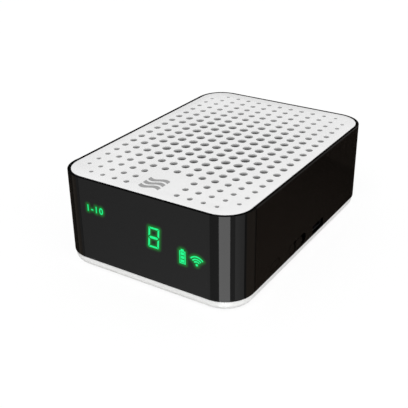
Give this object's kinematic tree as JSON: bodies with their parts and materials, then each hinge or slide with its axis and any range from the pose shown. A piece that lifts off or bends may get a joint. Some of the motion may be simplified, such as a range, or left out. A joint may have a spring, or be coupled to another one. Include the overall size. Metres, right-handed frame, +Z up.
{
  "type": "air quality monitor",
  "caption": "Table-top air quality monitor: black sleeve, wrapped smoked display front, white perforated top and white base, with a push button, slide switch and charging socket.",
  "frame": {"origin": "on the surface that the feet rest on, midway between the sides", "axes": "+Z up, the display faces -Y, +X is to the right of the display, where the controls are"},
  "size_m": [0.0725, 0.1022, 0.0353],
  "materials": {
    "shell_black": "satin moulded black plastic",
    "control_black": "satin moulded black plastic",
    "panel_smoke": "polished smoked acrylic",
    "grille_white": "fine satin white plastic",
    "base_white": "satin white plastic",
    "filter_grey": "dark filter felt",
    "foot_rubber": "soft matte rubber",
    "screw_steel": "zinc-plated steel",
    "board_green": "solder mask on glass-fibre board",
    "radio_board": "dark solder mask",
    "chip_black": "moulded black resin",
    "can_metal": "pressed sheet metal",
    "socket_dark": "dark-plated sheet steel",
    "plunger_cream": "plain moulded plastic",
    "lamp_black": "black moulded plastic",
    "lamp_green": "clear green light strokes",
    "lamp_clear": "clear lamp resin",
    "sensor_grey": "dark grey moulded plastic",
    "fan_black": "black moulded plastic",
    "laser_brass": "turned brass barrel",
    "coil_copper": "enamelled copper coils on a steel shaft",
    "cell_foil": "foil pouch",
    "pad_foam": "adhesive foam",
    "lead_red": "insulated lead"
  },
  "bodies": {
    "housing": {"outer_shell": "shell_black", "front_panel": "panel_smoke", "top_grille": "grille_white", "base_tray": "base_white", "dust_filter": "filter_grey", "rubber_feet": "foot_rubber", "case_screws": "screw_steel", "board_screws": "screw_steel", "display_screws": "screw_steel", "main_board": "board_green", "display_board": "board_green", "detector_board": "board_green", "wifi_module": "radio_board", "board_chips": "chip_black", "photodiode": "chip_black", "tact_switch": "chip_black", "usb_tongue": "chip_black", "display_header": "chip_black", "sensor_header": "chip_black", "wifi_shield": "can_metal", "slide_switch": "can_metal", "usb_receptacle": "socket_dark", "battery_socket": "plunger_cream", "digit_display": "lamp_black", "light_mask": "lamp_black", "mask_film": "lamp_black", "digit_segments": "lamp_green", "icon_leds": "lamp_clear", "sensor_case": "sensor_grey", "sensor_cover": "sensor_grey", "laser_module": "laser_brass", "fan_motor": "coil_copper", "battery_cell": "cell_foil", "battery_pad": "pad_foam", "battery_leads": "lead_red"},
    "push_button": {"button_cap": "control_black", "tact_plunger": "plunger_cream"},
    "power_slider": {"slide_knob": "control_black", "switch_lever": "chip_black"},
    "sensor_fan": {"fan_rotor": "fan_black"}
  },
  "joints": [
    {"name": "button_press", "type": "slide", "parent": "housing", "child": "push_button", "axis": [-1, 0, 0], "range_m": [0, 0.0004], "stiffness_N_per_m": 800},
    {"name": "power_slide", "type": "slide", "parent": "housing", "child": "power_slider", "axis": [0, 1, 0], "range_m": [0, 0.00275]},
    {"name": "fan_spin", "type": "hinge", "parent": "housing", "child": "sensor_fan", "pos_m": [-0.0065, -0.0011, 0.012], "axis": [0, 0, 1], "continuous": true}
  ]
}
